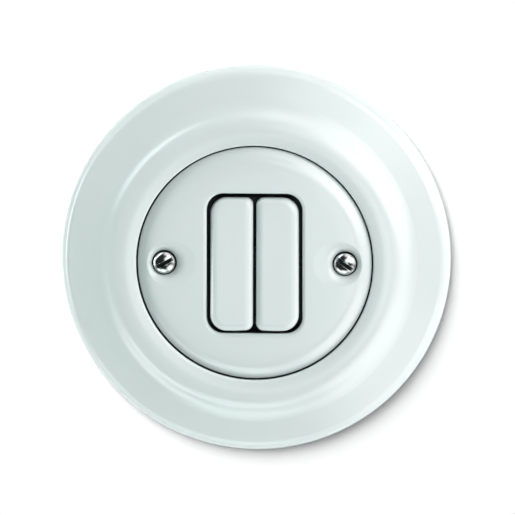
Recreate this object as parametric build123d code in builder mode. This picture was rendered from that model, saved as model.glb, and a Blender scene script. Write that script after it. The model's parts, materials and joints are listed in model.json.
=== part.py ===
from build123d import *
import os
from math import asin, cos, radians, sin, sqrt, tan

# Round porcelain wall switch with two push rockers side by side, on an insert for a 60 mm wall box.
# Millimetres. X runs right, Z up and -Y out of the wall. The origin is the middle of the wall plane.
# A height is a distance in front of that plane, and is negative behind it.

os.makedirs("parts", exist_ok=True)

# Rockers, at rest with the top end in
rocker_width = 10.97
rocker_length = 34.2
rocker_gap = 0.75
rocker_side_gap = 0.9
rocker_end_gap = 1.0
rocker_face = 6.6
rocker_thickness = 2.4
rocker_wall = 1.5
rocker_skirt = 4.4
rocker_tilt = 2.8
rocker_outer_corner = 4.2
rocker_edge_round = 2.0
rocker_bow = 0.25
rocker_stand_out = 0.5
pivot_height = 5.8

# Cradles that carry the rockers on the axle
cradle_inset = 0.28
cradle_deck = 1.6
cradle_reach = 12.5
hub_radius = 2.2
lever_arm = 9.0
nose_radius = 1.2
nose_drop = 1.0
leg_width = 3.2
post_radius = 1.2
post_length = 1.4
post_spread = 6.0
post_clearance = 0.05
axle_radius = 1.0
axle_fit = 0.03
axle_run = 0.05
axle_recess = 0.3
axle_chamfer = 0.2

# Centre plate
plate_thickness = 5.3
plate_dome_radius = 650.0
plate_roll_width = 2.4
plate_bevel_width = 1.9
plate_bevel_slope = 25.0
plate_edge_round = 0.3
plate_recess = 1.0
plate_seat_width = 4.2
plate_gap = 0.4
opening_corner = 4.3
opening_lip_round = 0.9

# Plate screws and their bushes
screw_edge_distance = 6.85
screw_radius = 1.5
screw_hole_clearance = 0.2
thread_clearance = 0.05
head_radius = 2.8
head_side = 1.8
head_dome = 1.25
head_bore_gap = 0.42
head_bore_depth = 1.1
head_slot_width = 1.0
head_slot_depth = 1.1
left_slot_angle = 28.0
right_slot_angle = -36.0
dish_flare = 2.6
dish_slope = 48.0
dish_lip_slope = 6.0
bush_radius = 3.0
bush_insert_gap = 0.65
bush_plate_gap = 0.2
bush_spigot_radius = 2.2
bush_flare_radius = 2.7
bush_flare = 0.7
rivet_fit = 0.05

# Cover frame
frame_width = 19.6
frame_crest_drop = 0.6
frame_crest_inset = 2.9
frame_crest_round = 7.5
frame_inner_slope = 12.0
frame_outer_slope = 42.0
frame_cove_round = 11.0
frame_brim_slope = 21.0
frame_rim_width = 2.5
frame_foot_round = 0.8
frame_foot_width = 4.0
frame_foot_height = 1.8
frame_wall = 4.2
frame_bore_wall = 1.0
frame_lip_round = 0.7
ledge_width = 3.2
ledge_clearance = 1.0

# Support ring
ring_thickness = 1.0
ring_size = 71.0
ring_corner_gap = 3.4
ring_lap = 2.4
ring_window_corner = 6.0
box_pitch = 60.0
box_hole_radius = 1.8
box_slot_length = 9.0

# Mechanism cover
flange_thickness = 1.4
collar_height = 3.6
collar_length = 33.0
collar_wall = 1.5
collar_clearance = 0.25
cradle_clearance = 0.35
cheek_width = 6.4
cheek_round = 1.7
guide_wall = 1.0
guide_length = 4.0
stop_width = 2.0
stop_gap = 0.1

# Insert base and its rivets
insert_width = 39.0
insert_corner = 3.5
base_depth = 20.0
base_wall = 1.6
base_floor = 3.0
base_edge = 1.0
base_partition = 1.6
base_post_corner = 7.0
rivet_inset = 3.0
rivet_radius = 1.2
rivet_head_radius = 2.0
rivet_head = 0.9
rivet_chamfer = 0.45

# Plungers, contacts and springs
plunger_radius = 2.5
plunger_clearance = 0.15
plunger_stem = 8.4
plunger_chamfer = 0.4
plunger_spigot_radius = 1.6
nose_gap = 0.1
bridge_width = 4.0
bridge_thickness = 0.6
bridge_reach = 4.0
tip_radius = 1.1
tip_thickness = 0.5
closed_gap = 0.05
strip_thickness = 0.8
strip_tail = 2.0
pedestal_length = 2.4
load_pedestal = 4.5
spring_wire = 0.5
spring_play = 0.2
spring_turns = 4.5
spring_seat_height = 4.0
spring_seat_margin = 0.3
spigot_gap = 0.8

# Terminals
terminal_width = 7.0
terminal_length = 6.4
terminal_spring_gap = 1.0
terminal_wall_gap = 1.2
terminal_chamfer = 0.5
wire_radius = 1.8
wire_bore_depth = 7.0
wire_funnel = 0.9
terminal_head_radius = 2.0
terminal_head = 1.8
terminal_slot_width = 0.7
terminal_slot_depth = 0.9
terminal_head_clearance = 0.4

# Claws and their screws
claw_gap = 0.4
claw_thickness = 1.2
claw_width = 8.0
claw_offset = 9.0
claw_length = 16.5
claw_tooth = 2.2
claw_bevel = 1.1
claw_top_gap = 0.3
claw_tab_drop = 2.5
claw_tab_thickness = 1.4
claw_tab_width = 6.8
claw_tab_reach = 6.4
claw_fork_gap = 0.4
claw_fork_web = 0.8
claw_slot_radius = 2.3
claw_slot_reach = 3.3
claw_screw_reach = 3.8
claw_screw_length = 12.0
claw_head_radius = 2.75
claw_head = 1.6
claw_slot_width = 0.8
claw_slot_depth = 0.8
claw_hole_clearance = 0.2

# How far a cutting shape runs past the surface it cuts
cut_overrun = 1.0

# Sizes that follow from those above
tilt_sin = sin(radians(rocker_tilt))
tilt_cos = cos(radians(rocker_tilt))
gang_x = (rocker_gap + rocker_width) / 2
opening_width = 2 * (rocker_width + rocker_side_gap) + rocker_gap
opening_length = rocker_length + 2 * rocker_end_gap
plate_top = pivot_height + rocker_face - rocker_stand_out
plate_bottom = plate_top - plate_thickness
screw_x = insert_width / 2 + bush_insert_gap + bush_radius
plate_radius = screw_x + screw_edge_distance
plate_bevel_start = plate_radius - plate_bevel_width
plate_roll_start = plate_bevel_start - plate_roll_width
frame_bore = plate_radius + plate_gap
frame_radius = frame_bore + frame_width
ring_front = ring_thickness
flange_front = ring_front + flange_thickness
cradle_width = rocker_width - 2 * (rocker_wall + cradle_inset)
cradle_top = rocker_face - rocker_thickness
axle_half = opening_width / 2 - collar_clearance - axle_recess
spring_radius = plunger_spigot_radius + spring_play + spring_wire
terminal_z = lever_arm + spring_radius + terminal_spring_gap + terminal_length / 2
insert_length = 2 * (terminal_z + terminal_length / 2 + terminal_wall_gap + base_wall)
base_inside = base_depth - base_floor
nose_low_rest = pivot_height + lever_arm * tilt_sin - nose_drop * tilt_cos - nose_radius
plunger_top = nose_low_rest - nose_gap
plunger_travel = 2 * lever_arm * tilt_sin
bridge_top = plunger_top - plunger_stem
bridge_bottom = bridge_top - bridge_thickness
fixed_tip_top = bridge_bottom - tip_thickness - plunger_travel - closed_gap
strip_top = fixed_tip_top - tip_thickness
strip_bottom = strip_top - strip_thickness
spring_seat = -base_inside + spring_seat_height
spring_length = bridge_bottom - spring_seat
spigot_length = (spring_length - plunger_travel - spigot_gap) / 2
terminal_middle = (strip_bottom - base_inside) / 2
claw_pivot_x = insert_width / 2 + claw_gap + claw_thickness / 2
claw_pivot_height = -claw_top_gap - claw_thickness / 2
claw_screw_x = claw_pivot_x + claw_screw_reach

# Planes that the pieces are drawn on
front = Plane.XZ
turned = Plane((0, 0, 0), x_dir=(1, 0, 0), z_dir=(0, 0, -1))
turned_diagonal = Plane((0, 0, 0), x_dir=(1, 0, 1), z_dir=(1, 0, -1))
side = Plane((0, 0, 0), x_dir=(0, 0, 1), z_dir=(1, 0, 0))
rocker_front = Plane((0, -pivot_height, 0), x_dir=(1, 0, 0), z_dir=(0, -tilt_cos, tilt_sin))
rocker_side = Plane((0, -pivot_height, 0), x_dir=(0, tilt_sin, tilt_cos), z_dir=(1, 0, 0))

gangs = (("left", -1), ("right", 1))
rivet_places = GridLocations(insert_width - 2 * rivet_inset, insert_length - 2 * rivet_inset, 2, 2)


def turned_at(x, z):
    """Plane for a turned profile whose axis stands on the wall at x, z: local x is radius, y is height."""
    return Plane((x, 0, z), x_dir=(1, 0, 0), z_dir=(0, 0, -1))


def front_axis(x, z):
    """Axis that stands on the wall at x, z and points to the viewer."""
    return Axis((x, 0, z), (0, -1, 0))


# Cover frame: a ring turned from an ogee section, with a ledge in its bore for the centre plate
crest_height = plate_top - frame_crest_drop
crest_radius = frame_bore + frame_crest_inset
crest_low = crest_height - frame_crest_round
inner_slope = radians(frame_inner_slope)
outer_slope = radians(frame_outer_slope)
brim_slope = radians(frame_brim_slope)
middle_slope = (outer_slope + brim_slope) / 2
crest_inner = (
    crest_radius - frame_crest_round * sin(inner_slope),
    crest_low + frame_crest_round * cos(inner_slope),
)
crest_outer = (
    crest_radius + frame_crest_round * sin(outer_slope),
    crest_low + frame_crest_round * cos(outer_slope),
)
lip = (frame_bore, crest_inner[1] - (crest_inner[0] - frame_bore) * tan(inner_slope))
cove_x = crest_outer[0] + frame_cove_round * sin(outer_slope)
cove_y = crest_outer[1] + frame_cove_round * cos(outer_slope)
cove_middle = (cove_x - frame_cove_round * sin(middle_slope), cove_y - frame_cove_round * cos(middle_slope))
brim_start = (cove_x - frame_cove_round * sin(brim_slope), cove_y - frame_cove_round * cos(brim_slope))
rim_x = frame_radius - frame_rim_width
rim_start = (rim_x, brim_start[1] - (rim_x - brim_start[0]) * tan(brim_slope))
rim_round = frame_rim_width / (1 - sin(brim_slope))
rim_end = (frame_radius, rim_start[1] - rim_round * cos(brim_slope))
rim_turn = (brim_slope + radians(90)) / 2
rim_middle = (frame_radius - rim_round * (1 - sin(rim_turn)), rim_end[1] + rim_round * cos(rim_turn))
foot_inner = frame_radius - frame_foot_width
ledge_bottom = ring_front + claw_head + ledge_clearance

with BuildPart() as cover_frame:
    with BuildSketch(turned):
        with BuildLine():
            Line(lip, crest_inner)
            ThreePointArc(crest_inner, (crest_radius, crest_height), crest_outer)
            ThreePointArc(crest_outer, cove_middle, brim_start)
            Line(brim_start, rim_start)
            ThreePointArc(rim_start, rim_middle, rim_end)
            Polyline(
                rim_end,
                (frame_radius, 0),
                (foot_inner, 0),
                (foot_inner, frame_foot_height),
                (brim_start[0], brim_start[1] - frame_wall),
                (crest_radius, crest_height - frame_wall),
                (frame_bore + frame_bore_wall, ledge_bottom),
                (frame_bore - ledge_width, ledge_bottom),
                (frame_bore - ledge_width, plate_bottom),
                (frame_bore, plate_bottom),
                lip,
            )
        make_face()
        fillet(vertices().sort_by_distance(lip)[0], frame_lip_round)
        fillet(vertices().sort_by_distance((frame_radius, 0))[0], frame_foot_round)
    revolve(axis=Axis.Y)
cover_frame.part.label = "cover_frame"
export_step(cover_frame.part, "parts/cover_frame.step")


# Centre plate: a shallow dome with a bevelled edge, an opening for the rockers and two flared screw seats
def dome_height(radius):
    """Height of the plate's domed face at a distance from its middle."""
    return plate_top - plate_dome_radius + sqrt(plate_dome_radius**2 - radius**2)


roll_slope_in = asin(plate_roll_start / plate_dome_radius)
bevel_turn = radians(plate_bevel_slope)
roll_turn = (roll_slope_in + bevel_turn) / 2
roll_round = plate_roll_width / (sin(bevel_turn) - sin(roll_slope_in))
roll_start = (plate_roll_start, dome_height(plate_roll_start))
roll_centre = (
    roll_start[0] - roll_round * sin(roll_slope_in),
    roll_start[1] - roll_round * cos(roll_slope_in),
)
roll_middle = (
    roll_centre[0] + roll_round * sin(roll_turn),
    roll_centre[1] + roll_round * cos(roll_turn),
)
bevel_start = (plate_bevel_start, roll_centre[1] + roll_round * cos(bevel_turn))
bevel_end = (plate_radius, bevel_start[1] - plate_bevel_width * tan(bevel_turn))
dish_turn = radians(dish_slope)
lip_turn = radians(dish_lip_slope)
dish_round = dish_flare / (sin(dish_turn) - sin(lip_turn))
dish_depth = dish_round * (cos(lip_turn) - cos(dish_turn))
seat_height = dome_height(screw_x) - dish_depth
head_bore = head_radius + head_bore_gap
head_seat = seat_height - head_bore_depth
dish_lip = (head_bore + dish_flare, seat_height + dish_depth)
dish_top = (dish_lip[0] + cut_overrun / tan(lip_turn), dish_lip[1] + cut_overrun)
dome_half = (plate_roll_start / 2, dome_height(plate_roll_start / 2))

with BuildPart() as centre_plate:
    with BuildSketch(turned_diagonal):
        with BuildLine():
            ThreePointArc((0, plate_top), dome_half, roll_start)
            ThreePointArc(roll_start, roll_middle, bevel_start)
            Polyline(
                bevel_start,
                bevel_end,
                (plate_radius, plate_bottom),
                (plate_radius - plate_seat_width, plate_bottom),
                (plate_radius - plate_seat_width, plate_bottom + plate_recess),
                (0, plate_bottom + plate_recess),
                (0, plate_top),
            )
        make_face()
        fillet(vertices().sort_by_distance(bevel_end)[0], plate_edge_round)
    revolve(axis=Axis.Y)
    with BuildSketch(front):
        RectangleRounded(opening_width, opening_length, opening_corner)
    extrude(amount=plate_top, mode=Mode.SUBTRACT)
    opening_edges = edges(Select.LAST).filter_by(Axis.Y, reverse=True)
    fillet(opening_edges.group_by(Axis.Z)[0].sort_by(Axis.Y)[0], opening_lip_round)
    for sign in (-1, 1):
        with BuildSketch(turned_at(sign * screw_x, 0)):
            with BuildLine():
                Polyline((0, head_seat), (head_bore, head_seat), (head_bore, seat_height))
                TangentArc((head_bore, seat_height), dish_lip, tangent=(cos(dish_turn), sin(dish_turn)))
                Polyline(dish_lip, dish_top, (0, dish_top[1]), (0, head_seat))
            make_face()
        revolve(axis=front_axis(sign * screw_x, 0), mode=Mode.SUBTRACT)
    with BuildSketch(front):
        with Locations((-screw_x, 0), (screw_x, 0)):
            Circle(screw_radius + screw_hole_clearance)
    extrude(amount=plate_top, mode=Mode.SUBTRACT)
centre_plate.part.label = "centre_plate"
export_step(centre_plate.part, "parts/centre_plate.step")

# Plate screws: raised slotted heads in the dishes, threaded into the bushes
head_edge = head_seat + head_side
head_top = head_edge + head_dome
head_dome_radius = (head_radius**2 + head_dome**2) / (2 * head_dome)
head_turn = asin(head_radius / head_dome_radius) / 2
head_middle = (
    head_dome_radius * sin(head_turn),
    head_top - head_dome_radius * (1 - cos(head_turn)),
)
bush_bottom = -bush_flare

with BuildPart() as plate_screws:
    for sign, slot_angle in ((-1, left_slot_angle), (1, right_slot_angle)):
        with BuildSketch(turned_at(sign * screw_x, 0)):
            with BuildLine():
                ThreePointArc((0, head_top), head_middle, (head_radius, head_edge))
                Polyline(
                    (head_radius, head_edge),
                    (head_radius, head_seat),
                    (screw_radius, head_seat),
                    (screw_radius, bush_bottom),
                    (0, bush_bottom),
                    (0, head_top),
                )
            make_face()
        revolve(axis=front_axis(sign * screw_x, 0))
        with BuildSketch(front.offset(head_top - head_slot_depth)):
            with Locations((sign * screw_x, 0)):
                Rectangle(2 * (head_radius + cut_overrun), head_slot_width, rotation=slot_angle)
        extrude(amount=head_slot_depth + cut_overrun, mode=Mode.SUBTRACT)
plate_screws.part.label = "plate_screws"
export_step(plate_screws.part, "parts/plate_screws.step")

# Plate bushes: brass pillars riveted into the support ring
bush_top = plate_bottom - bush_plate_gap
bush_bore = screw_radius + thread_clearance

with BuildPart() as plate_bushes:
    for sign in (-1, 1):
        with BuildSketch(turned_at(sign * screw_x, 0)):
            with BuildLine():
                Polyline(
                    (bush_bore, bush_top),
                    (bush_radius, bush_top),
                    (bush_radius, ring_front),
                    (bush_spigot_radius, ring_front),
                    (bush_spigot_radius, 0),
                    (bush_flare_radius, 0),
                    (bush_flare_radius, bush_bottom),
                    (bush_bore, bush_bottom),
                    close=True,
                )
            make_face()
        revolve(axis=front_axis(sign * screw_x, 0))
plate_bushes.part.label = "plate_bushes"
export_step(plate_bushes.part, "parts/plate_bushes.step")

# Support ring: stamped steel, round corners inside the cover frame, a window for the insert
window_width = insert_width - 2 * ring_lap
window_length = insert_length - 2 * ring_lap

with BuildPart() as support_ring:
    with BuildSketch(front):
        Rectangle(ring_size, ring_size)
        Circle(foot_inner - ring_corner_gap, mode=Mode.INTERSECT)
        with BuildSketch(mode=Mode.SUBTRACT):
            Rectangle(window_width, window_length)
            chamfer(vertices(), ring_window_corner)
        with rivet_places:
            Circle(rivet_radius + rivet_fit, mode=Mode.SUBTRACT)
        with Locations((-screw_x, 0), (screw_x, 0)):
            Circle(bush_spigot_radius + rivet_fit, mode=Mode.SUBTRACT)
        with Locations((-claw_screw_x, -claw_offset), (claw_screw_x, claw_offset)):
            Circle(screw_radius + claw_hole_clearance, mode=Mode.SUBTRACT)
        with Locations((0, -box_pitch / 2), (0, box_pitch / 2)):
            Circle(box_hole_radius, mode=Mode.SUBTRACT)
        with Locations((-box_pitch / 2, 0), (box_pitch / 2, 0)):
            SlotOverall(box_slot_length, 2 * box_hole_radius, rotation=90, mode=Mode.SUBTRACT)
    extrude(amount=ring_thickness)
support_ring.part.label = "support_ring"
export_step(support_ring.part, "parts/support_ring.step")

# Mechanism cover: flange on the ring, a collar inside the opening, cheeks for the axle and plunger guides
collar_top = flange_front + collar_height
collar_width = opening_width - 2 * collar_clearance
cheek_inner = gang_x + cradle_width / 2 + cradle_clearance
rib_half = gang_x - cradle_width / 2 - cradle_clearance
cheek_outer = collar_width / 2
cheek_wall = cheek_outer - cheek_inner
cheek_spans = ((-cheek_outer, cheek_wall), (-rib_half, 2 * rib_half), (cheek_inner, cheek_wall))
stop_top = pivot_height - lever_arm * tilt_sin - nose_drop * tilt_cos - nose_radius - stop_gap
guide_bore = plunger_radius + plunger_clearance

with BuildPart() as mechanism_cover:
    with BuildSketch(front.offset(ring_front)):
        RectangleRounded(insert_width, insert_length, insert_corner)
    extrude(amount=flange_thickness)
    with BuildSketch(front.offset(flange_front)):
        Rectangle(collar_width, collar_length)
        Rectangle(2 * cheek_inner, collar_length - 2 * collar_wall, mode=Mode.SUBTRACT)
    extrude(amount=collar_height)
    for cheek_start, cheek_thickness in cheek_spans:
        with BuildSketch(side.offset(cheek_start)):
            with Locations((0, (flange_front + collar_top) / 2)):
                Rectangle(cheek_width, collar_height)
            with Locations((0, (flange_front + pivot_height) / 2)):
                Rectangle(2 * cheek_round, pivot_height - flange_front)
            with Locations((0, pivot_height)):
                Circle(cheek_round)
        extrude(amount=cheek_thickness)
    with BuildSketch(front.offset(flange_front)):
        with Locations((-gang_x, lever_arm), (gang_x, lever_arm)):
            Rectangle(cradle_width, stop_width)
    extrude(amount=stop_top - flange_front)
    with BuildSketch(front.offset(ring_front)):
        with Locations((-gang_x, -lever_arm), (gang_x, -lever_arm)):
            Circle(guide_bore + guide_wall)
    extrude(amount=-guide_length)
    with BuildSketch(front.offset(flange_front)):
        with Locations((-gang_x, -lever_arm), (gang_x, -lever_arm)):
            Circle(guide_bore)
        with rivet_places:
            Circle(rivet_radius + rivet_fit)
    extrude(amount=-flange_thickness - guide_length, mode=Mode.SUBTRACT)
    with BuildSketch(side.offset(-cheek_outer)):
        with Locations((0, pivot_height)):
            Circle(axle_radius + axle_fit)
    extrude(amount=collar_width, mode=Mode.SUBTRACT)
mechanism_cover.part.label = "mechanism_cover"
export_step(mechanism_cover.part, "parts/mechanism_cover.step")

# Rocker axle: a plain pin through the cheeks
with BuildPart() as rocker_axle:
    with BuildSketch(side.offset(-axle_half)):
        with Locations((0, pivot_height)):
            Circle(axle_radius)
    extrude(amount=2 * axle_half)
    chamfer(edges().filter_by(GeomType.CIRCLE), axle_chamfer)
rocker_axle.part.label = "rocker_axle"
export_step(rocker_axle.part, "parts/rocker_axle.step")

# Insert base: moulded housing with a partition, contact pedestals, spring seats and wire entries
pocket_width = insert_width - 2 * base_wall
pocket_length = insert_length - 2 * base_wall
feed_pedestal = -(lever_arm - bridge_reach)
terminal_places = GridLocations(2 * gang_x, 2 * terminal_z, 2, 2)

with BuildPart() as insert_base:
    with BuildSketch(front.offset(-base_depth)):
        RectangleRounded(insert_width, insert_length, insert_corner)
    extrude(amount=base_depth)
    chamfer(faces().sort_by(Axis.Y)[-1].edges(), base_edge)
    with BuildSketch(front):
        Rectangle(pocket_width, pocket_length)
        chamfer(vertices(), base_post_corner)
    extrude(amount=-base_inside, mode=Mode.SUBTRACT)
    with BuildSketch(front.offset(-base_inside)):
        Rectangle(base_partition, pocket_length)
    extrude(amount=base_inside - guide_length)
    with BuildSketch(front.offset(-base_inside)):
        with Locations((-gang_x, feed_pedestal), (gang_x, feed_pedestal)):
            Rectangle(bridge_width, pedestal_length)
        with Locations((-gang_x, load_pedestal), (gang_x, load_pedestal)):
            Rectangle(bridge_width, pedestal_length)
    extrude(amount=base_inside + strip_bottom)
    with BuildSketch(front.offset(-base_inside)):
        with Locations((-gang_x, -lever_arm), (gang_x, -lever_arm)):
            Circle(spring_radius + spring_seat_margin)
    extrude(amount=spring_seat_height)
    with BuildSketch(front.offset(spring_seat)):
        with Locations((-gang_x, -lever_arm), (gang_x, -lever_arm)):
            Circle(plunger_spigot_radius)
    extrude(amount=spigot_length)
    with BuildSketch(front):
        with rivet_places:
            Circle(rivet_radius + rivet_fit)
    extrude(amount=-base_depth, mode=Mode.SUBTRACT)
    with BuildSketch(front.offset(-base_inside)):
        with terminal_places:
            Circle(wire_radius)
    extrude(amount=-base_floor, mode=Mode.SUBTRACT)
    funnel_edges = edges(Select.LAST).filter_by(GeomType.CIRCLE).group_by(Axis.Y)[-1]
    chamfer(funnel_edges, wire_funnel)
    with BuildSketch(Plane.XY.offset(-insert_length / 2)):
        with Locations((-gang_x, -terminal_middle), (gang_x, -terminal_middle)):
            Circle(terminal_head_radius + terminal_head_clearance)
    extrude(amount=base_wall, mode=Mode.SUBTRACT)
    with BuildSketch(Plane.XY.offset(insert_length / 2)):
        with Locations((-gang_x, -terminal_middle), (gang_x, -terminal_middle)):
            Circle(terminal_head_radius + terminal_head_clearance)
    extrude(amount=-base_wall, mode=Mode.SUBTRACT)
insert_base.part.label = "insert_base"
export_step(insert_base.part, "parts/insert_base.step")

# Base rivets: one in each corner, headed in front of the flange and behind the base
with BuildPart() as base_rivets:
    with BuildSketch(front.offset(-base_depth)):
        with rivet_places:
            Circle(rivet_radius)
    extrude(amount=base_depth + flange_front)
    with BuildSketch(front.offset(flange_front), front.offset(-base_depth - rivet_head)):
        with rivet_places:
            Circle(rivet_head_radius)
    extrude(amount=rivet_head)
    chamfer(edges().filter_by(GeomType.CIRCLE).group_by(Axis.Y)[0], rivet_chamfer)
base_rivets.part.label = "base_rivets"
export_step(base_rivets.part, "parts/base_rivets.step")

# Rockers: glazed caps with a full round rim, hollow behind, the left one a mirror image
rocker_middle = -rocker_face * tan(radians(rocker_tilt))
rocker_inner_x = rocker_gap / 2
rocker_outer_x = rocker_inner_x + rocker_width
rocker_low = rocker_middle - rocker_length / 2
rocker_high = rocker_middle + rocker_length / 2
skirt_low = rocker_face - rocker_skirt
bow_middle = (gang_x, rocker_low - rocker_bow)

with BuildPart() as right_rocker:
    with BuildSketch(rocker_front.offset(skirt_low)):
        with BuildLine():
            Polyline(
                (rocker_outer_x, rocker_low),
                (rocker_outer_x, rocker_high),
                (rocker_inner_x, rocker_high),
                (rocker_inner_x, rocker_low),
            )
            ThreePointArc((rocker_inner_x, rocker_low), bow_middle, (rocker_outer_x, rocker_low))
        make_face()
        fillet(vertices().group_by(Axis.X)[-1], rocker_outer_corner)
    extrude(amount=rocker_skirt)
    for side_edge in (-1, 0):
        fillet(faces().sort_by(Axis.Y)[0].edges().sort_by(Axis.X)[side_edge], rocker_edge_round)
    with BuildSketch(rocker_front.offset(skirt_low)):
        with Locations((gang_x, rocker_middle)):
            RectangleRounded(rocker_width - 2 * rocker_wall, rocker_length - 2 * rocker_wall, rocker_wall)
    extrude(amount=rocker_skirt - rocker_thickness, mode=Mode.SUBTRACT)
    with BuildSketch(rocker_front.offset(cradle_top)):
        with Locations((gang_x, -post_spread), (gang_x, post_spread)):
            Circle(post_radius)
    extrude(amount=-post_length)
right_rocker.part.label = "right_rocker"
export_step(right_rocker.part, "parts/right_rocker.step")

with BuildPart() as left_rocker:
    mirror(right_rocker.part, about=Plane.YZ)
left_rocker.part.label = "left_rocker"
export_step(left_rocker.part, "parts/left_rocker.step")

# Cradles: deck under the rocker, hub on the axle, and a nose and a foot that reach down to plunger and stop
deck_low = cradle_top - cradle_deck

for hand, sign in gangs:
    with BuildPart() as cradle:
        with BuildSketch(rocker_side.offset(sign * gang_x - cradle_width / 2)):
            with Locations((0, (cradle_top + deck_low) / 2)):
                Rectangle(2 * cradle_reach, cradle_deck)
            with Locations((0, deck_low / 2)):
                Rectangle(2 * hub_radius, deck_low)
            Circle(hub_radius)
            for end in (-1, 1):
                with BuildLine():
                    Polyline(
                        (end * lever_arm - nose_radius, -nose_drop),
                        (end * lever_arm + nose_radius, -nose_drop),
                        (end * lever_arm + leg_width / 2, deck_low),
                        (end * lever_arm - leg_width / 2, deck_low),
                        close=True,
                    )
                make_face()
                with Locations((end * lever_arm, -nose_drop)):
                    Circle(nose_radius)
            Circle(axle_radius + axle_run, mode=Mode.SUBTRACT)
        extrude(amount=cradle_width)
        with BuildSketch(rocker_front.offset(cradle_top)):
            with Locations((sign * gang_x, -post_spread), (sign * gang_x, post_spread)):
                Circle(post_radius + post_clearance)
        extrude(amount=-cradle_deck, mode=Mode.SUBTRACT)
    cradle.part.label = hand + "_cradle"
    export_step(cradle.part, "parts/" + hand + "_cradle.step")

# Plungers: turned pins that ride under the cradle noses, with a shoulder and a spigot for bridge and spring
for hand, sign in gangs:
    with BuildPart() as plunger:
        with BuildSketch(front.offset(bridge_top)):
            with Locations((sign * gang_x, -lever_arm)):
                Circle(plunger_radius)
        extrude(amount=plunger_stem)
        chamfer(edges().filter_by(GeomType.CIRCLE).sort_by(Axis.Y)[0], plunger_chamfer)
        with BuildSketch(front.offset(bridge_top)):
            with Locations((sign * gang_x, -lever_arm)):
                Circle(plunger_spigot_radius)
        extrude(amount=-bridge_thickness - spigot_length)
    plunger.part.label = hand + "_plunger"
    export_step(plunger.part, "parts/" + hand + "_plunger.step")

# Contact bridges: flat strips under the plunger shoulders, each with two silver tips
bridge_length = 2 * (bridge_reach + tip_radius)

for hand, sign in gangs:
    with BuildPart() as contact_bridge:
        with BuildSketch(front.offset(bridge_bottom)):
            with Locations((sign * gang_x, -lever_arm)):
                SlotOverall(bridge_length, bridge_width, rotation=90)
                Circle(plunger_spigot_radius + rivet_fit, mode=Mode.SUBTRACT)
        extrude(amount=bridge_thickness)
    contact_bridge.part.label = hand + "_contact_bridge"
    export_step(contact_bridge.part, "parts/" + hand + "_contact_bridge.step")

for hand, sign in gangs:
    with BuildPart() as bridge_tips:
        with BuildSketch(front.offset(bridge_bottom)):
            with Locations((sign * gang_x, -lever_arm)):
                with GridLocations(0, 2 * bridge_reach, 1, 2):
                    Circle(tip_radius)
        extrude(amount=-tip_thickness)
    bridge_tips.part.label = hand + "_bridge_tips"
    export_step(bridge_tips.part, "parts/" + hand + "_bridge_tips.step")

# Return springs: open coils between the spring seats and the bridges
coil_radius = spring_radius - spring_wire / 2
coil_height = spring_length - spring_wire

for hand, sign in gangs:
    with BuildPart() as return_spring:
        with BuildLine() as coil:
            Helix(
                coil_height / spring_turns,
                coil_height,
                coil_radius,
                center=(sign * gang_x, -spring_seat - spring_wire / 2, -lever_arm),
                direction=(0, -1, 0),
            )
        with BuildSketch(Plane(coil.line @ 0, z_dir=coil.line % 0)):
            Circle(spring_wire / 2)
        sweep()
    return_spring.part.label = hand + "_return_spring"
    export_step(return_spring.part, "parts/" + hand + "_return_spring.step")

# Fixed contacts: flat strips on the terminals, hooked over their outer faces
terminal_end = terminal_z + terminal_length / 2
feed_end = -(lever_arm + bridge_reach - tip_radius)
load_end = -(lever_arm - bridge_reach + tip_radius)
tail_low = strip_bottom - strip_tail

for hand, sign in gangs:
    for duty, inner_end, up in (("feed", feed_end, -1), ("load", load_end, 1)):
        hook_outer = up * (terminal_end + strip_thickness)
        with BuildPart() as contact:
            with BuildSketch(side.offset(sign * gang_x - bridge_width / 2)):
                with BuildLine():
                    Polyline(
                        (inner_end, strip_bottom),
                        (inner_end, strip_top),
                        (hook_outer, strip_top),
                        (hook_outer, tail_low),
                        (up * terminal_end, tail_low),
                        (up * terminal_end, strip_bottom),
                        close=True,
                    )
                make_face()
                fillet(vertices().sort_by_distance((hook_outer, strip_top))[0], strip_thickness)
            extrude(amount=bridge_width)
        contact.part.label = hand + "_" + duty + "_contact"
        export_step(contact.part, "parts/" + hand + "_" + duty + "_contact.step")

# Fixed contact tips: silver discs on the strips, below the tips of the bridges
with BuildPart() as fixed_contact_tips:
    with BuildSketch(front.offset(strip_top)):
        with Locations((0, -lever_arm)):
            with GridLocations(2 * gang_x, 2 * bridge_reach, 2, 2):
                Circle(tip_radius)
    extrude(amount=tip_thickness)
fixed_contact_tips.part.label = "fixed_contact_tips"
export_step(fixed_contact_tips.part, "parts/fixed_contact_tips.step")

# Terminals: brass blocks on the base floor, bored for a wire from behind and tapped from outside
for hand, sign in gangs:
    for duty, up in (("feed", -1), ("load", 1)):
        with BuildPart() as terminal:
            with BuildSketch(front.offset(-base_inside)):
                with Locations((sign * gang_x, up * terminal_z)):
                    Rectangle(terminal_width, terminal_length)
            extrude(amount=base_inside + strip_bottom)
            chamfer(edges().filter_by(Axis.Y), terminal_chamfer)
            with BuildSketch(front.offset(-base_inside)):
                with Locations((sign * gang_x, up * terminal_z)):
                    Circle(wire_radius)
            extrude(amount=wire_bore_depth, mode=Mode.SUBTRACT)
            with BuildSketch(Plane.XY.offset(up * terminal_end)):
                with Locations((sign * gang_x, -terminal_middle)):
                    Circle(screw_radius + thread_clearance)
            extrude(amount=-up * terminal_length / 2, mode=Mode.SUBTRACT)
        terminal.part.label = hand + "_" + duty + "_terminal"
        export_step(terminal.part, "parts/" + hand + "_" + duty + "_terminal.step")

# Terminal screws: slotted, reached through the upper and lower walls of the base
terminal_screw_tip = terminal_z + wire_radius

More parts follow.
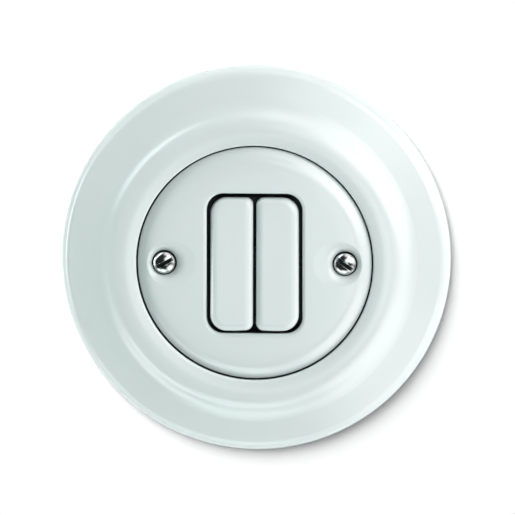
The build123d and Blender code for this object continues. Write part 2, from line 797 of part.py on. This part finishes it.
with BuildPart() as terminal_screws:
    for up in (-1, 1):
        with BuildSketch(Plane.XY.offset(up * terminal_screw_tip)):
            with Locations((-gang_x, -terminal_middle), (gang_x, -terminal_middle)):
                Circle(screw_radius)
        extrude(amount=up * (terminal_end - terminal_screw_tip))
        with BuildSketch(Plane.XY.offset(up * terminal_end)):
            with Locations((-gang_x, -terminal_middle), (gang_x, -terminal_middle)):
                Circle(terminal_head_radius)
        extrude(amount=up * terminal_head)
        with BuildSketch(Plane.XY.offset(up * (terminal_end + terminal_head - terminal_slot_depth))):
            with Locations((-gang_x, -terminal_middle), (gang_x, -terminal_middle)):
                Rectangle(2 * (terminal_head_radius + cut_overrun), terminal_slot_width)
        extrude(amount=up * (terminal_slot_depth + cut_overrun), mode=Mode.SUBTRACT)
terminal_screws.part.label = "terminal_screws"
export_step(terminal_screws.part, "parts/terminal_screws.step")

# Claws: forked strips that hang beside the base, with pointed ends and a tab round the claw screw
claw_tip = -claw_length - claw_bevel
tab_middle = claw_pivot_height - claw_tab_drop
fork_top = tab_middle - claw_tab_thickness / 2 - claw_fork_web

for hand, sign in gangs:
    claw_z = sign * claw_offset
    pivot_x = sign * claw_pivot_x
    inner_x = sign * (claw_pivot_x - claw_thickness / 2)
    outer_x = sign * (claw_pivot_x + claw_thickness / 2)
    tab_end = sign * (claw_pivot_x + claw_tab_reach)
    with BuildPart() as claw:
        with BuildSketch(turned_at(0, claw_z)):
            with Locations((pivot_x, claw_pivot_height)):
                Circle(claw_thickness / 2)
            with BuildLine():
                Polyline(
                    (inner_x, claw_pivot_height),
                    (inner_x, -claw_length),
                    (pivot_x + sign * claw_tooth, claw_tip),
                    (outer_x, -claw_length + claw_bevel),
                    (outer_x, claw_pivot_height),
                    close=True,
                )
            make_face()
        extrude(amount=claw_width / 2, both=True)
        with BuildSketch(side.offset(pivot_x)):
            with Locations((claw_z, (fork_top + claw_tip) / 2)):
                Rectangle(2 * (screw_radius + claw_fork_gap), fork_top - claw_tip)
        extrude(amount=2 * claw_tooth, both=True, mode=Mode.SUBTRACT)
        with BuildSketch(front.offset(tab_middle)):
            with Locations(((pivot_x + tab_end) / 2, claw_z)):
                Rectangle(claw_tab_reach, claw_tab_width)
            with Locations((pivot_x + sign * claw_slot_reach, claw_z)):
                Circle(claw_slot_radius, mode=Mode.SUBTRACT)
        extrude(amount=claw_tab_thickness / 2, both=True)
    claw.part.label = hand + "_claw"
    export_step(claw.part, "parts/" + hand + "_claw.step")

# Claw screws: slotted heads on the support ring, shanks through the claw tabs
with BuildPart() as claw_screws:
    with BuildSketch(front.offset(-claw_screw_length)):
        with Locations((-claw_screw_x, -claw_offset), (claw_screw_x, claw_offset)):
            Circle(screw_radius)
    extrude(amount=claw_screw_length + ring_front)
    with BuildSketch(front.offset(ring_front)):
        with Locations((-claw_screw_x, -claw_offset), (claw_screw_x, claw_offset)):
            Circle(claw_head_radius)
    extrude(amount=claw_head)
    with BuildSketch(front.offset(ring_front + claw_head - claw_slot_depth)):
        with Locations((-claw_screw_x, -claw_offset), (claw_screw_x, claw_offset)):
            Rectangle(2 * (claw_head_radius + cut_overrun), claw_slot_width)
    extrude(amount=claw_slot_depth + cut_overrun, mode=Mode.SUBTRACT)
claw_screws.part.label = "claw_screws"
export_step(claw_screws.part, "parts/claw_screws.step")
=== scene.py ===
import json
import math

import bmesh
import bpy
from mathutils import Matrix, Vector


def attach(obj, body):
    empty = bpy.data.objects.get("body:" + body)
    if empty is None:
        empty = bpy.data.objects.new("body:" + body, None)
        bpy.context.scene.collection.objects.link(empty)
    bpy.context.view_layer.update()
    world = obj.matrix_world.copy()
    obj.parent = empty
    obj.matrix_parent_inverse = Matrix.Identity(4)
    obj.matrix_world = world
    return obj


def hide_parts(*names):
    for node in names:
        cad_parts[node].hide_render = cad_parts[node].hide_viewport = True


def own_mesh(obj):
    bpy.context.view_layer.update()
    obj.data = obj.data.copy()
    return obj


# Round porcelain push switch on a white wall: finishes, wall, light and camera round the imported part.
# Metres. X runs right, Z up and -Y out of the wall.

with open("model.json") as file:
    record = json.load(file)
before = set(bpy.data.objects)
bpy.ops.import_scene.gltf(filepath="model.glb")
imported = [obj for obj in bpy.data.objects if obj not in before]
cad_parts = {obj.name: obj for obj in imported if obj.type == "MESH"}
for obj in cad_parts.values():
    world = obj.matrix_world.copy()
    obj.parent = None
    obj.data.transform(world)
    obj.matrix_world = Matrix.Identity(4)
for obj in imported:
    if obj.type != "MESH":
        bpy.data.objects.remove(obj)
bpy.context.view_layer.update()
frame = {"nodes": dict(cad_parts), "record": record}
nodes = frame["nodes"]
scene = bpy.context.scene

# The photograph's frame and how the object lies in it, in pixels
IMAGE_SIZE = 515
RIM_CENTRE = (256.2, 257.4)
PIXELS_PER_METRE = 3894.0

# Camera, aimed at the middle of the rim
CAMERA_DISTANCE = 2.6
CAMERA_AZIMUTH = math.radians(2.6)
CAMERA_ELEVATION = math.radians(9.6)
CAMERA_CLIP = (0.01, 20)
SENSOR_MILLIMETRES = 36
RIM_HEIGHT = 0.0015

# Gaps of the front: radii, half sizes and heights above the wall
FRAME_BORE = 0.0304
PLATE_RADIUS = 0.0300
PLATE_EDGE = 0.0099
OPENING_HALF_WIDTH = 0.012245
OPENING_HALF_LENGTH = 0.0181
OPENING_LIP = 0.0110
SCREW_X = 0.02315
HEAD_BORE = 0.00322
HEAD_SEAT_EDGE = 0.01016
HEAD_TOP = 0.01211
HEAD_ROUND = 0.00376

# Rockers: height of the pivot above the wall, tilt at rest, and height of the rim above the pivot
ROCKER_PIVOT = 0.0058
ROCKER_TILT = math.radians(2.8)
ROCKER_RIM = 0.0046

# Painted shade on the walls of the gaps, standing in for the shade that falls there
SKIN = 0.00006
PAINTED_SHADE_DEPTH = 0.0006
PAINTED_SHADE_ROUGHNESS = 0.6
PAINTED_SHADE = (0.012, 0.014, 0.0135)

# Glaze, which draws off the plate's edge
GLAZE_DARK = (0.678, 0.763, 0.748)
GLAZE_LIGHT = (0.698, 0.783, 0.768)
GLAZE_ROUGH = (0.045, 0.075)
GLAZE_IOR = 1.52
GLAZE_START = 0.0225
GLAZE_FALL = 15.0

# Wall behind the rim, with a hole that the rim covers
WALL_HALF = 1.2
WALL_HOLE = 0.048
WALL_BACK = 0.0004
WALL_STEPS = 96
WALL_DARK = (0.92, 0.92, 0.92)
WALL_LIGHT = (0.94, 0.94, 0.94)
WALL_ROUGHNESS = 0.9

# Room: its strengths before and behind the wall, its rise with height, and where one fades to the other
ROOM_FRONT = 0.04
ROOM_BEHIND = 0.85
ROOM_RISE = 0.25
ROOM_FADE = (-0.1, 0.3)
WHITE = (1, 1, 1, 1)

# Lamps, with the middle, dark edge and full core of their glow as shares of their size
LAMP_DISTANCE = 3.0
LAMP_MIDDLE = (0.5, 0.5, 0)
LAMP_EDGE = 0.5
LAMP_CORE = 0.1
RING_STEP_DEGREES = 60
NEUTRAL = (1, 1, 1)
WARM = (1.0, 0.92, 0.93)
COOL = (0.88, 1.0, 0.985)

# Values of a noise pattern that are wholly dark and wholly light
MOTTLE_DARK = 0.3
MOTTLE_LIGHT = 0.7

# Colour sockets of a Mix node
MIX_FIRST = 6
MIX_SECOND = 7
MIX_RESULT = 2


def material(name):
    """New material, its node tree and its shader."""
    made = bpy.data.materials.new(name)
    made.use_nodes = True
    tree = made.node_tree
    return made, tree, tree.nodes["Principled BSDF"]


def coordinates(tree):
    """Object coordinates in metres."""
    return tree.nodes.new("ShaderNodeTexCoord").outputs["Object"]


def noise(tree, vector, scale, detail=2.0, roughness=0.5):
    """Noise whose features are about 1/scale metres across."""
    node = tree.nodes.new("ShaderNodeTexNoise")
    node.inputs["Scale"].default_value = scale
    node.inputs["Detail"].default_value = detail
    node.inputs["Roughness"].default_value = roughness
    tree.links.new(vector, node.inputs["Vector"])
    return node.outputs["Fac"]


def mottled(tree, pattern, dark, light):
    """Colour that runs from dark to light with a noise pattern."""
    node = tree.nodes.new("ShaderNodeValToRGB")
    stops = ((MOTTLE_DARK, dark), (MOTTLE_LIGHT, light))
    for element, (position, colour) in zip(node.color_ramp.elements, stops):
        element.position = position
        element.color = (*colour, 1)
    tree.links.new(pattern, node.inputs["Fac"])
    return node.outputs["Color"]


def span(tree, value, low, high):
    """Value mapped from 0..1 to low..high."""
    node = tree.nodes.new("ShaderNodeMapRange")
    node.inputs["To Min"].default_value = low
    node.inputs["To Max"].default_value = high
    tree.links.new(value, node.inputs["Value"])
    return node.outputs["Result"]


def fade(tree, value, start, end):
    """0 at start and 1 at end, smooth between, whichever is larger."""
    node = tree.nodes.new("ShaderNodeMapRange")
    node.interpolation_type = "SMOOTHSTEP"
    node.inputs["From Min"].default_value = start
    node.inputs["From Max"].default_value = end
    tree.links.new(value, node.inputs["Value"])
    return node.outputs["Result"]


def reckon(tree, operation, *values):
    """Math node on sockets and numbers."""
    node = tree.nodes.new("ShaderNodeMath")
    node.operation = operation
    for socket, value in zip(node.inputs, values):
        if isinstance(value, bpy.types.NodeSocket):
            tree.links.new(value, socket)
        else:
            socket.default_value = value
    return node.outputs["Value"]


def mixed(tree, share, first, second):
    """Colour socket first, turning to the fixed colour second by a share."""
    node = tree.nodes.new("ShaderNodeMix")
    node.data_type = "RGBA"
    tree.links.new(share, node.inputs["Factor"])
    tree.links.new(first, node.inputs[MIX_FIRST])
    node.inputs[MIX_SECOND].default_value = (*second, 1)
    return node.outputs[MIX_RESULT]


def blended(tree, share, first, second):
    """Shader first, turning to the shader second by a share."""
    node = tree.nodes.new("ShaderNodeMixShader")
    for socket, value in zip(node.inputs, (share, first, second)):
        tree.links.new(value, socket)
    return node.outputs["Shader"]


def bump(tree, shader, height, depth, strength=1.0, under=None):
    """Bump of that depth in metres, over an earlier normal where one is given."""
    node = tree.nodes.new("ShaderNodeBump")
    node.inputs["Distance"].default_value = depth
    node.inputs["Strength"].default_value = strength
    tree.links.new(height, node.inputs["Height"])
    if under is not None:
        tree.links.new(under, node.inputs["Normal"])
    tree.links.new(node.outputs["Normal"], shader.inputs["Normal"])
    return node.outputs["Normal"]


def axes(tree, vector):
    """Sockets for x, height above the wall and z."""
    node = tree.nodes.new("ShaderNodeSeparateXYZ")
    tree.links.new(vector, node.inputs["Vector"])
    return node.outputs["X"], reckon(tree, "MULTIPLY", node.outputs["Y"], -1), node.outputs["Z"]


def distance(tree, x, z):
    """Distance from a front axis, from the offsets across and up."""
    squares = [reckon(tree, "POWER", offset, 2) for offset in (x, z)]
    return reckon(tree, "SQRT", reckon(tree, "ADD", *squares))


def frame_gap(tree, x, height, z):
    """Wall of the frame's bore, below its lip, where shade is painted."""
    inside = reckon(tree, "LESS_THAN", distance(tree, x, z), FRAME_BORE + SKIN)
    return reckon(tree, "MULTIPLY", inside, fade(tree, height, PLATE_EDGE + PAINTED_SHADE_DEPTH, PLATE_EDGE))


def plate_gaps(tree, x, height, z):
    """Walls of the plate's edge, of its opening and of its two screw seats, where shade is painted."""
    radius = distance(tree, x, z)
    edge = reckon(tree, "GREATER_THAN", radius, PLATE_RADIUS - SKIN)
    edge = reckon(tree, "MULTIPLY", edge, fade(tree, height, PLATE_EDGE, PLATE_EDGE - PAINTED_SHADE_DEPTH))
    side = reckon(tree, "ABSOLUTE", x)
    wide = reckon(tree, "LESS_THAN", side, OPENING_HALF_WIDTH + SKIN)
    long = reckon(tree, "LESS_THAN", reckon(tree, "ABSOLUTE", z), OPENING_HALF_LENGTH + SKIN)
    below = fade(tree, height, OPENING_LIP, OPENING_LIP - PAINTED_SHADE_DEPTH)
    opening = reckon(tree, "MULTIPLY", reckon(tree, "MULTIPLY", wide, long), below)
    seat = distance(tree, reckon(tree, "SUBTRACT", side, SCREW_X), z)
    sunk = fade(tree, height, HEAD_SEAT_EDGE, HEAD_SEAT_EDGE - PAINTED_SHADE_DEPTH / 2)
    bore = reckon(tree, "MULTIPLY", reckon(tree, "LESS_THAN", seat, HEAD_BORE + SKIN), sunk)
    return reckon(tree, "MAXIMUM", reckon(tree, "MAXIMUM", edge, opening), bore)


def rocker_skirt(tree, x, height, z):
    """Rocker's skirt, below its round rim, where shade is painted."""
    raised = reckon(tree, "MULTIPLY", reckon(tree, "SUBTRACT", height, ROCKER_PIVOT), math.cos(ROCKER_TILT))
    raised = reckon(tree, "ADD", raised, reckon(tree, "MULTIPLY", z, math.sin(ROCKER_TILT)))
    return fade(tree, raised, ROCKER_RIM, ROCKER_RIM - PAINTED_SHADE_DEPTH)


def head_slots(tree, x, height, z):
    """Slots of the plate screws, where shade is painted: what lies below the round of their heads."""
    side = reckon(tree, "SUBTRACT", reckon(tree, "ABSOLUTE", x), SCREW_X)
    reach = reckon(tree, "POWER", distance(tree, side, z), 2)
    cap = reckon(tree, "SQRT", reckon(tree, "MAXIMUM", reckon(tree, "SUBTRACT", HEAD_ROUND**2, reach), 0))
    depth = reckon(tree, "SUBTRACT", reckon(tree, "ADD", cap, HEAD_TOP - HEAD_ROUND), height)
    return fade(tree, depth, SKIN, PAINTED_SHADE_DEPTH)


def plate_glaze(tree, x, z):
    """Height of the plate's glaze: it falls with the square of the way beyond where it starts to draw off."""
    beyond = reckon(tree, "MAXIMUM", reckon(tree, "SUBTRACT", distance(tree, x, z), GLAZE_START), 0)
    return reckon(tree, "MULTIPLY", reckon(tree, "POWER", beyond, 2), -GLAZE_FALL)


def porcelain(name, gaps, thickness=None):
    """Cool white glaze, glassy and faintly rippled, with shade painted dark into the gaps, drawn off an edge
    where given.
    """
    made, tree, shader = material(name)
    vector = coordinates(tree)
    x, height, z = axes(tree, vector)
    painted_shade = gaps(tree, x, height, z)
    tone = mottled(tree, noise(tree, vector, scale=45, detail=3), GLAZE_DARK, GLAZE_LIGHT)
    # Painted shade: the colour turns near black in the gaps, and the glaze rougher there
    tree.links.new(mixed(tree, painted_shade, tone, PAINTED_SHADE), shader.inputs["Base Color"])
    gloss = span(tree, noise(tree, vector, scale=160), *GLAZE_ROUGH)
    gloss = reckon(tree, "ADD", gloss, reckon(tree, "MULTIPLY", painted_shade, PAINTED_SHADE_ROUGHNESS))
    tree.links.new(gloss, shader.inputs["Roughness"])
    drawn = None
    if thickness is not None:
        drawn = bump(tree, shader, thickness(tree, x, z), depth=1.0)
    ripple = noise(tree, vector, scale=130, detail=1)
    rippled = bump(tree, shader, ripple, depth=0.00004, strength=0.35, under=drawn)
    pits = noise(tree, vector, scale=1400)
    bump(tree, shader, pits, depth=0.000004, strength=0.25, under=rippled)
    shader.inputs["IOR"].default_value = GLAZE_IOR
    return made


def plated_metal(name, dark, light, rough, grain, grain_depth, edge=None, gaps=None):
    """Plated or rolled metal: cloudy, with fine grain; edges worn round, and shade painted dark into the gaps
    where given.
    """
    made, tree, shader = material(name)
    vector = coordinates(tree)
    tone = mottled(tree, noise(tree, vector, scale=260, detail=4), dark, light)
    if gaps is not None:
        # Painted shade: the colour turns near black in the gaps where given
        tone = mixed(tree, gaps(tree, *axes(tree, vector)), tone, PAINTED_SHADE)
    tree.links.new(tone, shader.inputs["Base Color"])
    gloss = span(tree, noise(tree, vector, scale=700, detail=3), *rough)
    tree.links.new(gloss, shader.inputs["Roughness"])
    worn = None
    if edge is not None:
        bevel = tree.nodes.new("ShaderNodeBevel")
        bevel.inputs["Radius"].default_value = edge
        worn = bevel.outputs["Normal"]
    scratches = noise(tree, vector, scale=grain, detail=3, roughness=0.6)
    bump(tree, shader, scratches, depth=grain_depth, strength=0.5, under=worn)
    shader.inputs["Metallic"].default_value = 1.0
    return made


def moulding(name, dark, light, rough, grain_depth):
    """Moulded plastic: slight mottling and a fine matt skin."""
    made, tree, shader = material(name)
    vector = coordinates(tree)
    tone = mottled(tree, noise(tree, vector, scale=320, detail=5, roughness=0.6), dark, light)
    tree.links.new(tone, shader.inputs["Base Color"])
    gloss = span(tree, noise(tree, vector, scale=900), *rough)
    tree.links.new(gloss, shader.inputs["Roughness"])
    bump(tree, shader, noise(tree, vector, scale=4200), depth=grain_depth, strength=0.6)
    return made


def wall_paint():
    """White emulsion with a faint roller texture, see-through from behind."""
    made, tree, shader = material("wall_paint")
    vector = coordinates(tree)
    tone = mottled(tree, noise(tree, vector, scale=30, detail=3), WALL_DARK, WALL_LIGHT)
    tree.links.new(tone, shader.inputs["Base Color"])
    shader.inputs["Roughness"].default_value = WALL_ROUGHNESS
    bump(tree, shader, noise(tree, vector, scale=900), depth=0.00001, strength=0.2)
    side = tree.nodes.new("ShaderNodeNewGeometry").outputs["Backfacing"]
    clear = tree.nodes.new("ShaderNodeBsdfTransparent").outputs["BSDF"]
    choice = blended(tree, side, shader.outputs["BSDF"], clear)
    tree.links.new(choice, tree.nodes["Material Output"].inputs["Surface"])
    return made


# Finishes by the part's material slots, and porcelain by piece
METALS = {
    "bright_nickel": dict(
        dark=(0.40, 0.43, 0.42), light=(0.48, 0.51, 0.50), rough=(0.10, 0.17),
        grain=2600, grain_depth=0.000003, edge=0.00014, gaps=head_slots,
    ),
    "zinc_steel": dict(
        dark=(0.50, 0.52, 0.54), light=(0.62, 0.63, 0.64), rough=(0.28, 0.42),
        grain=1500, grain_depth=0.000008,
    ),
    "polished_steel": dict(
        dark=(0.56, 0.56, 0.56), light=(0.64, 0.64, 0.63), rough=(0.15, 0.25),
        grain=2600, grain_depth=0.000004,
    ),
    "spring_steel": dict(
        dark=(0.38, 0.38, 0.38), light=(0.48, 0.48, 0.47), rough=(0.25, 0.35),
        grain=2600, grain_depth=0.000004,
    ),
    "brass": dict(
        dark=(0.62, 0.44, 0.17), light=(0.72, 0.54, 0.25), rough=(0.20, 0.34),
        grain=1800, grain_depth=0.000006,
    ),
    "copper": dict(
        dark=(0.62, 0.32, 0.19), light=(0.73, 0.41, 0.27), rough=(0.20, 0.34),
        grain=1800, grain_depth=0.000006,
    ),
    "silver": dict(
        dark=(0.72, 0.72, 0.70), light=(0.82, 0.82, 0.80), rough=(0.16, 0.26),
        grain=2600, grain_depth=0.000004,
    ),
}
MOULDINGS = {
    "black_moulding": dict(
        dark=(0.018, 0.018, 0.018), light=(0.026, 0.026, 0.027), rough=(0.45, 0.60), grain_depth=0.00001,
    ),
    "cream_thermoset": dict(
        dark=(0.60, 0.565, 0.48), light=(0.66, 0.625, 0.54), rough=(0.38, 0.55), grain_depth=0.00001,
    ),
    "white_moulding": dict(
        dark=(0.72, 0.72, 0.69), light=(0.77, 0.77, 0.74), rough=(0.32, 0.45), grain_depth=0.000006,
    ),
}
FINISHES = {name: plated_metal(name, **look) for name, look in METALS.items()}
FINISHES.update({name: moulding(name, **look) for name, look in MOULDINGS.items()})
PORCELAIN = {
    "cover_frame": porcelain("porcelain_frame", frame_gap),
    "centre_plate": porcelain("porcelain_plate", plate_gaps, plate_glaze),
    "left_rocker": porcelain("porcelain_left_rocker", rocker_skirt),
    "right_rocker": porcelain("porcelain_right_rocker", rocker_skirt),
}

for part in frame["record"]["subparts"]:
    name = part["node"]
    slots = nodes[name].data.materials
    slots.clear()
    slots.append(PORCELAIN.get(name) or FINISHES[part["material_slot"]])

# Return springs
for hand in ("left", "right"):
    coil = nodes[hand + "_return_spring"].copy()
    coil.data = coil.data.copy()
    coil.name = hand + "_coil"
    scene.collection.objects.link(coil)
    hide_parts(hand + "_return_spring")
    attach(coil, "housing")
    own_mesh(coil)


def wall():
    """Square sheet with a round hole, painted white."""
    shape = bmesh.new()
    inner = []
    outer = []
    for step in range(WALL_STEPS):
        angle = 2 * math.pi * step / WALL_STEPS
        across, up = math.cos(angle), math.sin(angle)
        reach = WALL_HALF / max(abs(across), abs(up))
        inner.append(shape.verts.new((WALL_HOLE * across, WALL_BACK, WALL_HOLE * up)))
        outer.append(shape.verts.new((reach * across, WALL_BACK, reach * up)))
    for step in range(WALL_STEPS):
        after = (step + 1) % WALL_STEPS
        shape.faces.new((inner[step], outer[step], outer[after], inner[after]))
    mesh = bpy.data.meshes.new("wall")
    shape.to_mesh(mesh)
    shape.free()
    mesh.materials.append(wall_paint())
    made = bpy.data.objects.new("wall", mesh)
    scene.collection.objects.link(made)
    return made


def studio():
    """World that is dim before the wall and pale behind it.

    The camera sees it white on every side, and mirrors and glass see it white behind the wall.
    """
    made = bpy.data.worlds.new("studio")
    made.use_nodes = True
    tree = made.node_tree
    direction = tree.nodes.new("ShaderNodeSeparateXYZ")
    tree.links.new(tree.nodes.new("ShaderNodeTexCoord").outputs["Generated"], direction.inputs["Vector"])
    behind = fade(tree, direction.outputs["Y"], *ROOM_FADE)
    pale = reckon(tree, "MULTIPLY_ADD", direction.outputs["Z"], ROOM_RISE, ROOM_BEHIND - ROOM_FRONT)
    room = tree.nodes["Background"]
    room.inputs["Color"].default_value = WHITE
    tree.links.new(reckon(tree, "MULTIPLY_ADD", behind, pale, ROOM_FRONT), room.inputs["Strength"])
    backing = tree.nodes.new("ShaderNodeBackground")
    backing.inputs["Color"].default_value = WHITE
    path = tree.nodes.new("ShaderNodeLightPath").outputs
    mirrored = reckon(tree, "MAXIMUM", path["Is Glossy Ray"], path["Is Transmission Ray"])
    shown = reckon(tree, "MAXIMUM", path["Is Camera Ray"], reckon(tree, "MULTIPLY", behind, mirrored))
    seen = blended(tree, shown, room.outputs["Background"], backing.outputs["Background"])
    tree.links.new(seen, tree.nodes["World Output"].inputs["Surface"])
    return made


backdrop = wall()
scene.world = studio()

# The wall and the object each have their own lamps, so that the shadow on the wall stays soft
wall_only = bpy.data.collections.new("wall_only")
wall_only.objects.link(backdrop)
not_the_wall = bpy.data.collections.new("not_the_wall")
not_the_wall.objects.link(backdrop)
not_the_wall.collection_objects[0].light_linking.link_state = "EXCLUDE"


def softbox(name, at, half, power, lights, tint=NEUTRAL):
    """Lamp that fades to its edges, for one set of pieces.

    The object sees it at an angle off the front axis and one round it, anticlockwise from the right,
    and as large as its half angles away from the axis and round it, all in degrees.
    """
    lamp = bpy.data.lights.new(name, "AREA")
    lamp.shape = "RECTANGLE"
    lamp.size, lamp.size_y = (2 * LAMP_DISTANCE * math.tan(math.radians(angle)) for angle in half)
    lamp.energy = power
    lamp.color = tint
    lamp.use_nodes = True
    tree = lamp.node_tree
    middle = tree.nodes.new("ShaderNodeVectorMath")
    middle.operation = "DISTANCE"
    middle.inputs[1].default_value = LAMP_MIDDLE
    tree.links.new(tree.nodes.new("ShaderNodeNewGeometry").outputs["Parametric"], middle.inputs[0])
    glow = fade(tree, middle.outputs["Value"], LAMP_EDGE, LAMP_CORE)
    tree.links.new(glow, tree.nodes["Emission"].inputs["Strength"])
    tilt, turn = (math.radians(angle) for angle in at)
    away = Vector((math.sin(tilt) * math.cos(turn), -math.cos(tilt), math.sin(tilt) * math.sin(turn)))
    outward = Vector((math.cos(tilt) * math.cos(turn), math.sin(tilt), math.cos(tilt) * math.sin(turn)))
    made = bpy.data.objects.new(name, lamp)
    made.location = away * LAMP_DISTANCE
    made.rotation_euler = Matrix((outward, away.cross(outward), away)).transposed().to_euler()
    made.light_linking.receiver_collection = lights
    scene.collection.objects.link(made)


softbox("wall_key", at=(40, 122), half=(34, 34), power=400, lights=wall_only)
for angle in range(0, 360, RING_STEP_DEGREES):
    softbox("wall_ring_%d" % angle, at=(60, angle), half=(27, 27), power=24, lights=wall_only)
softbox("right_key", at=(76, 12), half=(26, 36), power=75, lights=not_the_wall, tint=WARM)
softbox("right_low", at=(67, 312), half=(32, 34), power=130, lights=not_the_wall, tint=WARM)
softbox("right_high", at=(71, 72), half=(26, 32), power=60, lights=not_the_wall, tint=WARM)
softbox("front_fill", at=(54, 34), half=(26, 34), power=170, lights=not_the_wall, tint=WARM)
softbox("front_soft", at=(14, 325), half=(22, 22), power=40, lights=not_the_wall, tint=COOL)
softbox("front_top", at=(30, 55), half=(24, 24), power=50, lights=not_the_wall, tint=COOL)
softbox("base_fill", at=(73, 262), half=(22, 28), power=75, lights=not_the_wall, tint=COOL)
softbox("left_arc", at=(73.5, 134), half=(7, 42), power=65, lights=not_the_wall, tint=COOL)
softbox("left_mid", at=(87, 180), half=(7, 40), power=140, lights=not_the_wall)
softbox("left_low", at=(80, 230), half=(14, 26), power=45, lights=not_the_wall)

# Camera
camera_data = bpy.data.cameras.new("camera")
camera_data.sensor_width = SENSOR_MILLIMETRES
camera_data.lens = SENSOR_MILLIMETRES * PIXELS_PER_METRE * CAMERA_DISTANCE / IMAGE_SIZE
camera_data.clip_start, camera_data.clip_end = CAMERA_CLIP
camera = bpy.data.objects.new("camera", camera_data)
scene.collection.objects.link(camera)
scene.camera = camera
sight = Vector((
    math.sin(CAMERA_AZIMUTH) * math.cos(CAMERA_ELEVATION),
    -math.cos(CAMERA_AZIMUTH) * math.cos(CAMERA_ELEVATION),
    math.sin(CAMERA_ELEVATION),
))
facing = (-sight).to_track_quat("-Z", "Y")
right = facing @ Vector((1, 0, 0))
upward = facing @ Vector((0, 1, 0))
offset_x = (IMAGE_SIZE / 2 - RIM_CENTRE[0]) / PIXELS_PER_METRE
offset_y = (RIM_CENTRE[1] - IMAGE_SIZE / 2) / PIXELS_PER_METRE
aim = Vector((0, -RIM_HEIGHT, 0)) + right * offset_x + upward * offset_y
camera.location = aim + sight * CAMERA_DISTANCE
camera.rotation_euler = facing.to_euler()

scene.view_settings.view_transform = "Standard"
